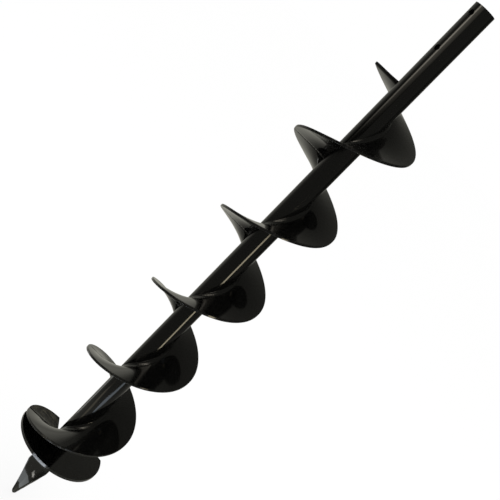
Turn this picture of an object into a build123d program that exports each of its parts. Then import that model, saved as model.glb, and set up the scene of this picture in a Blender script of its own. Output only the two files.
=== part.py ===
"""Soil auger for a powered or hand-turned drive, all welded steel.

A hollow tube carries a right-hand helical flight made of one-turn sections, butt-welded end to end and
fillet-welded to the tube. Under the flight a flat lower plate backs a cutting lip, and a twisted pilot
point is plugged and welded into the tube's lower end.

Frame: millimetres, origin at the centre of the open drive end, +Z up out of that end along the tube, so
the auger hangs below the origin. +Y runs along the two cross-bolt holes. Azimuths are degrees about +Z.
"""

from build123d import *
import math
import os

# --- driving dimensions ---------------------------------------------------------------------------------

TUBE_DIAMETER = 33.4
TUBE_WALL = 3.38
TUBE_LENGTH = 945.0

DRIVE_HOLE_DIAMETER = 9.0
DRIVE_HOLE_SETBACK = 15.0          # from the drive end to the first cross hole
DRIVE_HOLE_SPACING = 60.0
DRIVE_HOLE_COUNT = 2
DRIVE_END_CHAMFER = 0.8

FLIGHT_DIAMETER = 152.4
FLIGHT_THICKNESS = 4.0
FLIGHT_PITCH = 156.0
LOWEST_PITCH = 153.5               # the lowest section is pressed a little flatter
BARE_SHANK = 143.0                 # from the drive end down to the flight's upper end
FLIGHT_FOOT = 41.2                 # from the tube's lower end up to the flight's lower end
FLIGHT_FOOT_AZIMUTH = -135.0
LEAST_SECTION = 20.0               # a shorter rest of a turn is left off the flight's top

LIP_THICKNESS = 6.0
LIP_SPAN = 66.0                    # degrees ahead of the flight's foot
LIP_DROP = 22.7                    # fall of the lip over its span
LIP_GRIND = 14.0                   # width of the ground bevel behind the cutting edge
LIP_LAND = 1.0                     # height of the edge that the grinding leaves

PLATE_THICKNESS = 5.0
PLATE_TRAILING_AZIMUTH = 77.0
PLATE_CORNER = 7.0                 # chamfer of the trailing outer corner
PLATE_LEAD_GAP = 0.3               # between the plate's leading end and the flight's underside

PILOT_REACH = 95.0                 # from the tube's lower end down to the tip
PILOT_WIDTH = 40.0                 # across the widest part of the blade
PILOT_THICKNESS = 10.0
PILOT_TIP_WIDTH = 7.0
PILOT_TIP_THICKNESS = 5.0
PILOT_TWIST = 50.0                 # right-hand, from the shoulder to the tip
PILOT_AZIMUTH = 45.0               # of the blade's broad direction at its shoulder
PILOT_COLLAR = 9.0                 # height of the round collar that closes the tube
COLLAR_NECK = 0.62                 # collar's lower radius as a share of the tube's radius
COLLAR_OVERLAP = 0.5               # how far the collar runs on into the blade
PILOT_PARALLEL = 0.2               # share of the blade that keeps its full width
PILOT_CORNER = 0.3                 # corner radius as a share of the blade's thickness
PILOT_STATIONS = (0.0, 0.2, 0.45, 0.7, 1.0)
SHANK_DEPTH = 40.0                 # of the pilot's shank inside the tube
SEAT_REAM = 0.5                    # the tube's lower end is reamed this much larger for the shank
SEAT_RUN_OUT = 1.0                 # the reamed seat is this much deeper than the shank

FIT_UP_GAP = 0.1                   # between welded pieces before the weld
SHANK_CLEARANCE = 0.25             # radial, pilot shank in the tube
ROOT_LEG_OUT = 5.0                 # fillet weld's leg along the flight
ROOT_LEG_UP = 8.0                  # fillet weld's leg along the tube, measured along the axis
RING_BEAD = 3.0                    # section radius of the ring weld at the pilot
SEAM_HALF_ANGLE = 2.2              # degrees either side of a butt seam
SEAM_HEIGHT = 1.2
EDGE_STANDOFF = 0.8                # welds stop this far inside the flight's rim

# --- derived places -------------------------------------------------------------------------------------

TUBE_RADIUS = TUBE_DIAMETER / 2
BORE_RADIUS = TUBE_RADIUS - TUBE_WALL
SEAT_RADIUS = BORE_RADIUS + SEAT_REAM
RIM_RADIUS = FLIGHT_DIAMETER / 2
ROOT_RADIUS = TUBE_RADIUS + FIT_UP_GAP
KNEE_RADIUS = 2 * ROOT_RADIUS      # helical plates are set out here as well as at root and rim

TUBE_FOOT_Z = -TUBE_LENGTH
FLIGHT_TOP_Z = -BARE_SHANK
FLIGHT_FOOT_Z = TUBE_FOOT_Z + FLIGHT_FOOT


def point(radius, azimuth, z):
    """A point at a radius, an azimuth in degrees and a height."""
    angle = math.radians(azimuth)
    return Vector(radius * math.cos(angle), radius * math.sin(angle), z)


def helix_edge(radius, start_azimuth, start_z, span, pitch):
    """A right-hand helix edge that climbs from its start over a span of degrees."""
    edge = Edge.make_helix(pitch, pitch * span / 360, radius)
    return Location((0, 0, start_z), (0, 0, start_azimuth)) * edge


def ruled_prism(profile, start_azimuth, start_z, span, pitch):
    """A closed solid swept along a helix from a profile of (radius, height) corners.

    Each face between two corners is ruled between their helices, so its straight lines are radial.
    """
    edges = [helix_edge(r, start_azimuth, start_z + dz, span, pitch) for r, dz in profile]
    faces = [Face.make_surface_from_curves(a, b) for a, b in zip(edges, edges[1:] + edges[:1])]
    for azimuth, z in ((start_azimuth, start_z), (start_azimuth + span, start_z + pitch * span / 360)):
        corners = [point(r, azimuth, z + dz) for r, dz in profile]
        faces.append(Face(Wire.make_polygon(corners, close=True)))
    return Solid(Shell(faces))


def axial_half(thickness, radius, pitch):
    """Half of a helical plate's thickness, measured along the axis at a radius."""
    slope = math.atan2(pitch, 2 * math.pi * radius)
    return thickness / 2 / math.cos(slope)


def plate_stations(thickness, pitch):
    """Radius and half thickness along the axis where a helical plate's section is set out."""
    return [(r, axial_half(thickness, r, pitch)) for r in (ROOT_RADIUS, KNEE_RADIUS, RIM_RADIUS)]


def plate_profile(thickness, pitch):
    """The corners of a helical plate's section between the tube and the rim."""
    stations = plate_stations(thickness, pitch)
    upper = [(r, half) for r, half in stations]
    lower = [(r, -half) for r, half in reversed(stations)]
    return upper + lower


def surface_height(thickness, pitch, radius):
    """Height of a helical plate's upper face above its middle surface at a radius."""
    root, knee, rim = plate_stations(thickness, pitch)
    (r0, h0), (r1, h1) = (root, knee) if radius <= KNEE_RADIUS else (knee, rim)
    return h0 + (h1 - h0) * (radius - r0) / (r1 - r0)


def flight_sections():
    """Start azimuth, start height, span and pitch of each flight section, from the lowest up."""
    sections = []
    azimuth = FLIGHT_FOOT_AZIMUTH
    z = FLIGHT_FOOT_Z
    pitch = LOWEST_PITCH
    while FLIGHT_TOP_Z - z > pitch * LEAST_SECTION / 360:
        span = min(360.0, 360 * (FLIGHT_TOP_Z - z) / pitch)
        sections.append((azimuth, z, span, pitch))
        azimuth += span
        z += pitch * span / 360
        pitch = FLIGHT_PITCH
    return sections


def lip_pitch():
    """The lip's fall turned into a pitch, so that it sweeps like a flight."""
    return LIP_DROP * 360 / LIP_SPAN


# --- pieces ---------------------------------------------------------------------------------------------


def make_drive_tube():
    """The tube, open at the drive end, with cross-bolt holes along Y and a reamed seat at its foot."""
    tube = Cylinder(TUBE_RADIUS, TUBE_LENGTH, align=(Align.CENTER, Align.CENTER, Align.MAX))
    top = tube.edges().group_by(Axis.Z)[-1]
    tube = chamfer(top, DRIVE_END_CHAMFER)
    tube -= Cylinder(BORE_RADIUS, 3 * TUBE_LENGTH)
    tube -= Pos(0, 0, TUBE_FOOT_Z) * Cylinder(SEAT_RADIUS, 2 * (SHANK_DEPTH + SEAT_RUN_OUT))
    hole = Rot(90, 0, 0) * Cylinder(DRIVE_HOLE_DIAMETER / 2, 2 * TUBE_DIAMETER)
    for index in range(DRIVE_HOLE_COUNT):
        z = -DRIVE_HOLE_SETBACK - index * DRIVE_HOLE_SPACING
        tube -= Pos(0, 0, z) * hole
    return tube


def make_flight_section(azimuth, z, span, pitch):
    """One pressed section of flighting, cut back at both ends by half the fit-up gap."""
    trim = math.degrees(FIT_UP_GAP / 2 / ROOT_RADIUS)
    profile = plate_profile(FLIGHT_THICKNESS, pitch)
    return ruled_prism(profile, azimuth + trim, z + pitch * trim / 360, span - 2 * trim, pitch)


def make_cutting_lip():
    """The blade ahead of the flight's foot, with its leading edge ground from below."""
    pitch = lip_pitch()
    trim = math.degrees(FIT_UP_GAP / 2 / ROOT_RADIUS)
    start = FLIGHT_FOOT_AZIMUTH - LIP_SPAN
    profile = plate_profile(LIP_THICKNESS, pitch)
    lip = ruled_prism(profile, start, FLIGHT_FOOT_Z - LIP_DROP, LIP_SPAN - trim, pitch)
    # The grinding plane passes just under the leading edge of the upper face and leans back below the lip.
    edge_z = FLIGHT_FOOT_Z - LIP_DROP + surface_height(LIP_THICKNESS, pitch, RIM_RADIUS) - LIP_LAND
    slope = math.degrees(math.atan2(pitch, 2 * math.pi * RIM_RADIUS))
    lean = math.degrees(math.atan2(LIP_THICKNESS, LIP_GRIND))
    cutter = Box(2 * RIM_RADIUS, 2 * LIP_GRIND, 4 * LIP_THICKNESS,
                 align=(Align.MIN, Align.CENTER, Align.MAX))
    cutter = Rot(slope - lean, 0, 0) * cutter
    cutter = Pos(0, 0, edge_z) * (Rot(0, 0, start) * cutter)
    return lip - cutter


def plate_leading_azimuth():
    """Where the flat plate stops, just before its top would meet the flight's underside."""
    rise = axial_half(FLIGHT_THICKNESS, ROOT_RADIUS, LOWEST_PITCH) + PLATE_LEAD_GAP
    return FLIGHT_FOOT_AZIMUTH + 360 * rise / LOWEST_PITCH


def make_lower_plate():
    """The flat part-disc under the lowest turn, with its trailing outer corner cut off."""
    first = plate_leading_azimuth()
    last = PLATE_TRAILING_AZIMUTH
    corner = math.degrees(PLATE_CORNER / RIM_RADIUS)
    outer = CenterArc((0, 0), RIM_RADIUS, first, last - first - corner)
    inner = CenterArc((0, 0), ROOT_RADIUS, first, last - first)
    inset = point(RIM_RADIUS - PLATE_CORNER, last, 0)
    outline = [outer, inner, Line(inner @ 0, outer @ 0), Line(outer @ 1, inset), Line(inset, inner @ 1)]
    face = make_face(Sketch() + outline)
    return Pos(0, 0, FLIGHT_FOOT_Z) * extrude(face, amount=-PLATE_THICKNESS)


def pilot_section(share):
    """A blade section at a share of the way from the shoulder (0) to the tip (1)."""
    reach = PILOT_REACH - PILOT_COLLAR
    taper = max(0.0, (share - PILOT_PARALLEL) / (1 - PILOT_PARALLEL))
    width = PILOT_WIDTH + (PILOT_TIP_WIDTH - PILOT_WIDTH) * taper
    thickness = PILOT_THICKNESS + (PILOT_TIP_THICKNESS - PILOT_THICKNESS) * share
    turn = PILOT_AZIMUTH - PILOT_TWIST * share
    z = TUBE_FOOT_Z - PILOT_COLLAR - reach * share
    outline = RectangleRounded(width, thickness, PILOT_CORNER * thickness)
    return Location((0, 0, z), (0, 0, turn)) * outline


def make_pilot_point():
    """The forged pilot: round shank inside the tube, collar against its end, twisted blade below."""
    shank = Cylinder(SEAT_RADIUS - SHANK_CLEARANCE, SHANK_DEPTH + FIT_UP_GAP,
                     align=(Align.CENTER, Align.CENTER, Align.MIN))
    shank = Pos(0, 0, TUBE_FOOT_Z - FIT_UP_GAP) * shank
    collar = Cone(COLLAR_NECK * TUBE_RADIUS, TUBE_RADIUS, PILOT_COLLAR + COLLAR_OVERLAP,
                  align=(Align.CENTER, Align.CENTER, Align.MAX))
    collar = Pos(0, 0, TUBE_FOOT_Z - FIT_UP_GAP) * collar
    blade = loft([pilot_section(share) for share in PILOT_STATIONS])
    return shank + collar + blade


def make_root_weld(azimuth, z, span, pitch, thickness):
    """The fillet weld between the tube and the upper face of a helical plate."""
    near = surface_height(thickness, pitch, ROOT_RADIUS) + FIT_UP_GAP
    far = surface_height(thickness, pitch, ROOT_RADIUS + ROOT_LEG_OUT) + FIT_UP_GAP
    profile = [(ROOT_RADIUS, near), (ROOT_RADIUS + ROOT_LEG_OUT, far), (ROOT_RADIUS, near + ROOT_LEG_UP)]
    trim = math.degrees(2 * FIT_UP_GAP / ROOT_RADIUS)
    return ruled_prism(profile, azimuth + trim, z + pitch * trim / 360, span - 2 * trim, pitch)


def make_seam_weld(azimuth, z, pitch, thickness):
    """The raised butt weld across the upper face where two plates meet."""
    radii = (ROOT_RADIUS + ROOT_LEG_OUT + FIT_UP_GAP, KNEE_RADIUS, RIM_RADIUS - EDGE_STANDOFF)
    seat = [(r, surface_height(thickness, pitch, r) + FIT_UP_GAP) for r in radii]
    crown = [(r, z + SEAM_HEIGHT) for r, z in reversed(seat)]
    profile = seat + crown
    start_z = z - pitch * SEAM_HALF_ANGLE / 360
    return ruled_prism(profile, azimuth - SEAM_HALF_ANGLE, start_z, 2 * SEAM_HALF_ANGLE, pitch)


def make_plate_root_weld():
    """The fillet weld between the tube and the lower plate's underside."""
    z = FLIGHT_FOOT_Z - PLATE_THICKNESS - FIT_UP_GAP
    first = plate_leading_azimuth()
    corners = [point(r, first, z + dz) for r, dz in
               ((ROOT_RADIUS, 0), (ROOT_RADIUS + ROOT_LEG_OUT, 0), (ROOT_RADIUS, -ROOT_LEG_OUT))]
    profile = Face(Wire.make_polygon(corners, close=True))
    return revolve(profile, Axis.Z, PLATE_TRAILING_AZIMUTH - first)


def make_pilot_weld():
    """The ring weld over the joint between the tube's lower end and the pilot's collar."""
    section = Circle(RING_BEAD) - Pos(-RING_BEAD, 0) * Rectangle(2 * RING_BEAD, 3 * RING_BEAD)
    section = Plane.XZ * (Pos(ROOT_RADIUS, TUBE_FOOT_Z) * section)
    return revolve(section, Axis.Z)


def make_parts():
    """Every piece by its node name."""
    parts = {
        "drive_tube": make_drive_tube(),
        "cutting_lip": make_cutting_lip(),
        "lower_plate": make_lower_plate(),
        "pilot_point": make_pilot_point(),
        "plate_root_weld": make_plate_root_weld(),
        "pilot_weld": make_pilot_weld(),
        "lip_root_weld": make_root_weld(FLIGHT_FOOT_AZIMUTH - LIP_SPAN, FLIGHT_FOOT_Z - LIP_DROP,
                                        LIP_SPAN, lip_pitch(), LIP_THICKNESS),
    }
    for number, (azimuth, z, span, pitch) in enumerate(flight_sections(), start=1):
        parts[f"flight_section_{number}"] = make_flight_section(azimuth, z, span, pitch)
        parts[f"root_weld_{number}"] = make_root_weld(azimuth, z, span, pitch, FLIGHT_THICKNESS)
        if number == 1:
            parts["seam_weld_1"] = make_seam_weld(azimuth, z, lip_pitch(), LIP_THICKNESS)
        else:
            parts[f"seam_weld_{number}"] = make_seam_weld(azimuth, z, pitch, FLIGHT_THICKNESS)
    return parts


os.makedirs("parts", exist_ok=True)
for name, shape in make_parts().items():
    shape.label = name
    export_step(shape, f"parts/{name}.step")
    print(f"{name}: volume {shape.volume:.1f} mm3")
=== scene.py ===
"""Finished pieces, paint and studio for the welded soil auger.

Metres, in the frame of the CAD model: the origin is the centre of the open drive end, +Z points up out of
it, and the auger hangs below. Azimuths are angles about +Z. Every piece stands for one node of the CAD model.
"""

import math

import bmesh
import bpy
from bpy.props import FloatProperty, FloatVectorProperty, IntProperty, PointerProperty
from mathutils import Matrix, Vector, noise


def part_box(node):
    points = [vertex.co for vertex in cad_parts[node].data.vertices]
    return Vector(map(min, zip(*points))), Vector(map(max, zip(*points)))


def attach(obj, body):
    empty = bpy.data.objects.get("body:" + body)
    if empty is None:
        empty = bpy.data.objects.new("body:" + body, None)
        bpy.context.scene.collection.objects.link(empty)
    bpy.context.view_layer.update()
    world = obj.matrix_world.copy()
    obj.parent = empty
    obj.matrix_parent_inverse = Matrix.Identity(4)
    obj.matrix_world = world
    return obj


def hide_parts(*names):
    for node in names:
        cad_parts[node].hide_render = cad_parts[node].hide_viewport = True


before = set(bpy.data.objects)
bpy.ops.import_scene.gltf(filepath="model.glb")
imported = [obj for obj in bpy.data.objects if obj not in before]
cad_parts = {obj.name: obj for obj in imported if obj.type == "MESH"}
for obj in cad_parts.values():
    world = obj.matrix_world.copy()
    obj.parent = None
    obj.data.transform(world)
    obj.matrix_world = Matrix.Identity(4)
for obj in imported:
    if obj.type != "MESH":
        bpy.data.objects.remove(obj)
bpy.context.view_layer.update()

bl_info = {
    "name": "Soil Auger Looks",
    "version": (1, 0, 0),
    "blender": (4, 5, 0),
    "location": "View3D > Sidebar > Soil Auger",
    "description": "Builds the finished pieces, the paint and the studio of a welded soil auger",
    "category": "Object",
}

Z_AXIS = Vector((0, 0, 1))
TUBE_TOP, TUBE_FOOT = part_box("drive_tube")[1].z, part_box("drive_tube")[0].z
TUBE_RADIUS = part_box("drive_tube")[1].x
RIM_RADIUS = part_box("flight_section_2")[1].x
PLATE_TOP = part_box("lower_plate")[1].z
PLATE_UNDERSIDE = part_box("lower_plate")[0].z
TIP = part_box("pilot_point")[0].z

MERGE = 1e-7            # vertices nearer than this are one
TUCK = 0.0002           # how far a plate runs in under the tube's surface
BEAD_TUCK = 0.0003      # the same for a weld bead, along both of its legs
PLATE_LEAD_GAP = 0.0003  # between the lower plate's leading end and the flight above it
WANDER_START = TUBE_RADIUS + 0.008   # the plate near its weld keeps to the true screw
WANDER_SCALE = 0.055    # width of one swell of the wandering plate
BEAD_POINTS = 9         # along the face of a fillet
BEAD_HOLLOW = 0.0009    # how far the face of a fillet is drawn in
STEPS_PER_RIPPLE = 5
RIPPLE_START = 0.0004   # height over the tube where a bead's scales begin
RIPPLE_DEPTH = 0.00022
RING_BEAD = 0.0029      # section radius of the ring bead at the pilot
RING_RIPPLES = 37
RING_RIPPLE_DEPTH = 0.0003
SEAM_HALF_ANGLE = math.radians(2.2)
SEAM_HEIGHT = 0.0006
SEAM_STANDOFF = 0.0009  # the seam bead stops this far inside the rim
LIP_LAND = 0.001        # thickness left at the cutting edge
PILOT_SEAT = 0.0001     # the forging starts this far below the tube's foot
COLLAR = 0.009          # height of the round collar above the pilot's blade
FORGED_BY = 0.020       # below the tube, where the forging has its full blade section
PILOT_AZIMUTH = math.radians(45)
PILOT_PARALLEL = 0.2    # share of the blade that keeps its full width
PILOT_TIP_WIDTH, PILOT_TIP_THICKNESS = 0.007, 0.005
PILOT_HOLLOW = 0.30     # how far the blade's broad faces are drawn in, as a share of its thickness

# Each paint's slot and material.
BLACK = ("gloss_black", "Gloss black paint")
BLADE = ("gloss_black", "Ground blade under paint")
WELD = ("painted_weld", "Painted weld")

BLADE_STAIN = (0.040, 0.036, 0.024, 1)
FLOOR_SHARE = 0.85      # of plain white in what is seen of the floor; the rest keeps the shadow
FLOOR_RADIUS = 40
# Tint of the painted glow of the tent and of the window.
GLOW_TINT = (1.0, 0.985, 0.86)
DARK_BAND_TURN = math.radians(117)   # of a painted dark band in the tent's glow, from the camera's azimuth
DARK_BAND_EDGE, DARK_BAND_DEPTH = (0.84, 0.93), 0.75     # cosines between which it darkens, and by how much
REAR_EDGE = (-0.1, 0.45)        # cosines between which the front glow turns into the rear glow
SHADE_EDGE, SHADE_DEPTH = (0.25, 0.7), 0.75    # the same where painted shade makes the rear glow weaker on the right

# Painted light of the glowing tent behind the auger and in front of it, as greys from straight below (0) to
# straight above (1).
REAR_PAINTED_GLOW = ((0.0, 0.10), (0.20, 0.45), (0.40, 0.45), (0.47, 0.37), (0.53, 0.52), (0.60, 0.47),
              (0.68, 0.16), (1.0, 0.13))
FRONT_PAINTED_GLOW = ((0.0, 0.35), (0.19, 0.40), (0.24, 0.14), (0.60, 0.14), (1.0, 0.13))

# Lights that lie on the floor: name, the two ends, the width at each end, colour, strength.
STRIPS = (
    ("warm", (0.77, 0.06), (2.6, -0.33), 0.17, 0.66, (1.0, 0.88, 0.62), 6.0),
    ("cool", (0.34, -0.21), (0.60, 0.02), 0.12, 0.12, (0.80, 0.90, 1.0), 2.2),
    ("side", (-0.03, -0.50), (0.10, -0.32), 0.12, 0.10, (1.0, 0.92, 0.72), 1.0),
    ("low", (0.090, -0.235), (0.215, -0.140), 0.050, 0.050, (0.86, 0.92, 1.0), 9.0),
    ("left", (-0.301, -0.109), (-0.564, -0.205), 0.07, 0.12, (1.0, 1.0, 0.96), 1.8),
    ("tip", (-0.010, -0.022), (-0.078, -0.100), 0.035, 0.095, (0.95, 1.0, 1.0), 2.2),
    ("glint", (0.008, -0.086), (0.011, -0.096), 0.009, 0.009, (1.0, 0.98, 0.90), 8.0),
)
STRIP_LIFT = 0.002      # of the strips above the floor

# The window: its place, its fade downwards, and its brightness from its left side (0) to its right (1).
WINDOW_TURN = math.radians(-58)      # from the camera's azimuth
WINDOW_DISTANCE = 1.8
WINDOW_LEFT, WINDOW_RIGHT = -0.8, 2.1
WINDOW_FOOT, WINDOW_HEAD = -0.45, 0.70
WINDOW_FADE = (-0.44, 0.13)
WINDOW_COLOUR, WINDOW_STRENGTH = (1.0, 0.93, 0.78), 4.2
WINDOW_PANE = ((0.0, 0.0), (0.12, 0.06), (0.20, 0.10), (0.21, 1.0), (0.345, 1.0), (0.36, 0.30),
               (0.50, 0.22), (0.80, 0.12), (1.0, 0.0))

LAMP_PLACE, LAMP_SIGHT = Vector((0.6, -0.2, 1.8)), Vector((-0.6, 0.2, -2.6))
LAMP_SIZE, LAMP_POWER = 2.4, 12


# --- values -------------------------------------------------------------------------------------------------


def length_value(name, note, metres):
    """A length that the scene keeps."""
    return FloatProperty(name=name, description=note, default=metres, unit="LENGTH")


def angle_value(name, note, degrees):
    """An angle that the scene keeps."""
    return FloatProperty(name=name, description=note, default=math.radians(degrees), unit="ROTATION")


class AugerSizes(bpy.types.PropertyGroup):
    """Sizes of the finished pieces, the same as the CAD model's."""

    tube_wall: length_value("Tube wall", "Wall of the drive tube", 0.00338)
    hole_diameter: length_value("Cross hole", "Diameter of the cross-bolt holes", 0.009)
    hole_setback: length_value("Hole setback", "From the drive end to the first hole", 0.015)
    hole_spacing: length_value("Hole spacing", "Between the cross-bolt holes", 0.060)
    flight_thickness: length_value("Flight plate", "Thickness of the flighting", 0.004)
    flight_pitch: length_value("Pitch", "Climb of the flight in one turn", 0.156)
    lowest_pitch: length_value("Lowest pitch", "Climb of the lowest turn", 0.1535)
    flight_top: length_value("Flight top", "Height where the flight ends", -0.143)
    foot_azimuth: angle_value("Foot azimuth", "Azimuth of the flight's lower end", -135)
    lip_thickness: length_value("Lip plate", "Thickness of the cutting lip", 0.006)
    lip_span: angle_value("Lip span", "Angle that the lip covers", 66)
    lip_drop: length_value("Lip drop", "Fall of the lip over its span", 0.0227)
    lip_grind: length_value("Ground bevel", "Width of the bevel under the cutting edge", 0.014)
    plate_end_azimuth: angle_value("Plate end", "Azimuth of the lower plate's trailing end", 77)
    plate_corner: length_value("Plate corner", "Cut-off corner of the lower plate", 0.007)
    pilot_width: length_value("Pilot width", "Across the widest part of the pilot", 0.040)
    pilot_thickness: length_value("Pilot thickness", "Through the pilot's blade", 0.010)
    pilot_twist: angle_value("Pilot twist", "Turn of the blade from shoulder to tip", 50)
    bead_out: length_value("Bead out", "Leg of the root weld along the flight", 0.005)
    bead_up: length_value("Bead up", "Leg of the root weld along the tube", 0.008)
    ripple: length_value("Weld ripple", "Distance between two ripples of a bead", 0.0028)
    edge_round: length_value("Edge rounding", "Rounding of painted plate edges", 0.0008)
    wander: length_value("Wander", "How far the pressed plate strays from a true screw", 0.0005)


class AugerFinish(bpy.types.PropertyGroup):
    """Paint of the auger."""

    paint: FloatVectorProperty(
        name="Paint", description="Gloss black paint", subtype="COLOR", size=3,
        default=(0.0016, 0.0016, 0.0015), min=0, max=1)
    thin_paint: FloatVectorProperty(
        name="Thin paint", description="Paint thinned over edges", subtype="COLOR", size=3,
        default=(0.012, 0.012, 0.011), min=0, max=1)
    dust: FloatVectorProperty(
        name="Dust", description="Settled dust", subtype="COLOR", size=3,
        default=(0.16, 0.145, 0.115), min=0, max=1)
    roughness: FloatProperty(
        name="Roughness", description="Roughness of the clean paint", default=0.09, min=0, max=1)
    specular: FloatProperty(
        name="Specular level", description="Strength of the clear reflection", default=0.5, min=0, max=1)


class StudioSetup(bpy.types.PropertyGroup):
    """Camera, floor and light."""

    camera_distance: length_value("Camera distance", "From the auger's axis", 1.1271)
    camera_azimuth: angle_value("Camera azimuth", "Where the camera stands", -45)
    camera_height: length_value("Camera height", "Height of the camera", -0.1418)
    aim_height: length_value("Aim height", "Height on the axis that the camera looks at", -0.4565)
    camera_roll: angle_value("Camera roll", "Turn about the line of sight", 44.5)
    lens: FloatProperty(
        name="Lens", description="Focal length in mm", default=57.6, min=1)
    light_level: FloatProperty(
        name="Light level", description="Strength of the even light", default=1.0, min=0)
    tent_radius: length_value("Tent radius", "Radius of the reflecting tent", 3.2)


# --- mesh helpers -------------------------------------------------------------------------------------------


def radius_of(co):
    """Distance of a point from the auger's axis."""
    return math.hypot(co.x, co.y)


def slope_factor(radius, pitch):
    """How much thicker a helical plate is along the axis than across itself."""
    return math.hypot(1, pitch / (2 * math.pi * radius))


def plate_strip(inner, outer, thickness, pitch, columns):
    """A radial section through a plate as a strip of faces in the XZ plane."""
    bm = bmesh.new()
    bmesh.ops.create_grid(bm, x_segments=columns, y_segments=1, size=0.5)
    for vert in bm.verts:
        share = vert.co.x + 0.5
        share = share + 0.35 * share * (1 - share)
        radius = inner + (outer - inner) * share
        half = thickness / 2 * slope_factor(radius, pitch)
        vert.co = Vector((radius, 0, math.copysign(half, vert.co.y)))
    return bm


def sweep(bm, azimuth, z, span, pitch, steps):
    """Turns a section about the axis from its start azimuth and height while it climbs."""
    bmesh.ops.rotate(bm, verts=bm.verts, cent=(0, 0, 0), matrix=Matrix.Rotation(azimuth, 3, "Z"))
    bmesh.ops.translate(bm, verts=bm.verts, vec=(0, 0, z))
    climb = pitch * span / (2 * math.pi)
    bmesh.ops.spin(
        bm, geom=bm.verts[:] + bm.edges[:] + bm.faces[:], cent=(0, 0, 0), axis=Z_AXIS,
        dvec=(0, 0, climb / steps), angle=span, steps=steps, use_merge=False)
    bmesh.ops.remove_doubles(bm, verts=bm.verts, dist=MERGE)
    bmesh.ops.recalc_face_normals(bm, faces=bm.faces)


def round_edges(bm, width, segments, least_angle, keep_out=0.0):
    """Rounds the sharp edges that lie further from the axis than keep_out."""
    sharp = [
        e for e in bm.edges
        if e.is_manifold and e.calc_face_angle() > least_angle
        and max(radius_of(v.co) for v in e.verts) > keep_out]
    bmesh.ops.bevel(
        bm, geom=sharp, offset=width, offset_type="OFFSET", segments=segments, profile=0.5,
        affect="EDGES", material=-1, clamp_overlap=True)


def stray(bm, amount):
    """Lets a plate wander up and down a little, not at all at its root and fully at its rim."""
    for vert in bm.verts:
        share = min(max((radius_of(vert.co) - WANDER_START) / (RIM_RADIUS - WANDER_START), 0), 1)
        vert.co.z += amount * share * noise.noise(vert.co / WANDER_SCALE)


def lathe(bm, steps):
    """Turns a profile of edges once round the axis into a closed skin."""
    bmesh.ops.spin(
        bm, geom=bm.verts[:] + bm.edges[:], cent=(0, 0, 0), axis=Z_AXIS, angle=2 * math.pi,
        steps=steps, use_merge=True)
    bmesh.ops.remove_doubles(bm, verts=bm.verts, dist=MERGE)
    bmesh.ops.recalc_face_normals(bm, faces=bm.faces)


def mesh_object(scene, bm, name):
    """Makes the mesh an object of the scene."""
    mesh = bpy.data.meshes.new(name)
    bm.to_mesh(mesh)
    bm.free()
    obj = bpy.data.objects.new(name, mesh)
    scene.collection.objects.link(obj)
    return obj


def finish_piece(context, bm, name, node, paint):
    """Makes the mesh a painted object that rides on the body and stands for its CAD node."""
    slot, material = paint
    obj = mesh_object(context.scene, bm, name)
    obj.data.shade_smooth()
    obj.data.materials.append(bpy.data.materials[material])
    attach(obj, "root")
    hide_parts(node)
    return obj


def weigh_normals(obj):
    """Keeps the broad faces flat beside their rounded edges."""
    modifier = obj.modifiers.new("Weighted normals", "WEIGHTED_NORMAL")
    modifier.mode = "FACE_AREA"
    modifier.weight = 60


def flight_turns(sizes):
    """Start azimuth, start height, span and pitch of each section of flighting, from the lowest up."""
    azimuth, z, pitch = sizes.foot_azimuth, PLATE_TOP, sizes.lowest_pitch
    turns = []
    while sizes.flight_top - z > 1e-4:
        span = min(2 * math.pi, (sizes.flight_top - z) / pitch * 2 * math.pi)
        turns.append((azimuth, z, span, pitch))
        azimuth += span
        z += pitch * span / (2 * math.pi)
        pitch = sizes.flight_pitch
    return turns


def lip_pitch(sizes):
    """The lip's fall turned into the pitch of a screw."""
    return sizes.lip_drop * 2 * math.pi / sizes.lip_span


def plate_reach(sizes):
    """Start azimuth and span of the lower plate, which begins where the flight above leaves it room."""
    rise = sizes.flight_thickness / 2 * slope_factor(TUBE_RADIUS, sizes.lowest_pitch) + PLATE_LEAD_GAP
    start = sizes.foot_azimuth + 2 * math.pi * rise / sizes.lowest_pitch
    return start, sizes.plate_end_azimuth - start


def bead_profile(bm, seat, out, up, z_sign):
    """A slightly hollow fillet in the corner between tube and plate, as a closed face in the XZ plane."""
    inner = TUBE_RADIUS - BEAD_TUCK
    corners = [Vector((inner, 0, seat))]
    for index in range(BEAD_POINTS + 1):
        share = index / BEAD_POINTS
        hollow = BEAD_HOLLOW * math.sin(math.pi * share)
        corners.append(Vector((
            TUBE_RADIUS + out * (1 - share) - hollow, 0, seat + z_sign * (up * share - hollow))))
    corners.append(Vector((inner, 0, seat + z_sign * up)))
    bm.faces.new([bm.verts.new(c) for c in corners])


def ripple_bead(bm, ripple, depth, pitch):
    """Lays the overlapping scales of a weld into a bead that runs round the tube."""
    for vert in bm.verts:
        height = radius_of(vert.co) - TUBE_RADIUS
        if height < RIPPLE_START:
            continue
        along = math.atan2(vert.co.y, vert.co.x) * math.hypot(TUBE_RADIUS, pitch / (2 * math.pi))
        along += 0.25 * ripple * noise.noise(vert.co * 180) + 30 * height * height
        phase = (along / ripple) % 1
        scale = phase ** 0.6 * (1 - phase) * 2.2 - 0.55
        lump = noise.noise(vert.co * 70) * 0.5
        shift = depth * (scale + lump)
        direction = Vector((vert.co.x, vert.co.y, 0)).normalized()
        vert.co += direction * min(shift, 0.4 * height)


# --- shader helpers -----------------------------------------------------------------------------------------


def add_node(tree, kind, place, inputs=None, **settings):
    """Adds a node at a place in the tree, with its settings, its values and its links."""
    made = tree.nodes.new(kind)
    made.location = place
    for key, value in settings.items():
        setattr(made, key, value)
    for key, value in (inputs or {}).items():
        if isinstance(value, bpy.types.NodeSocket):
            tree.links.new(value, made.inputs[key])
        else:
            made.inputs[key].default_value = value
    return made


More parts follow.
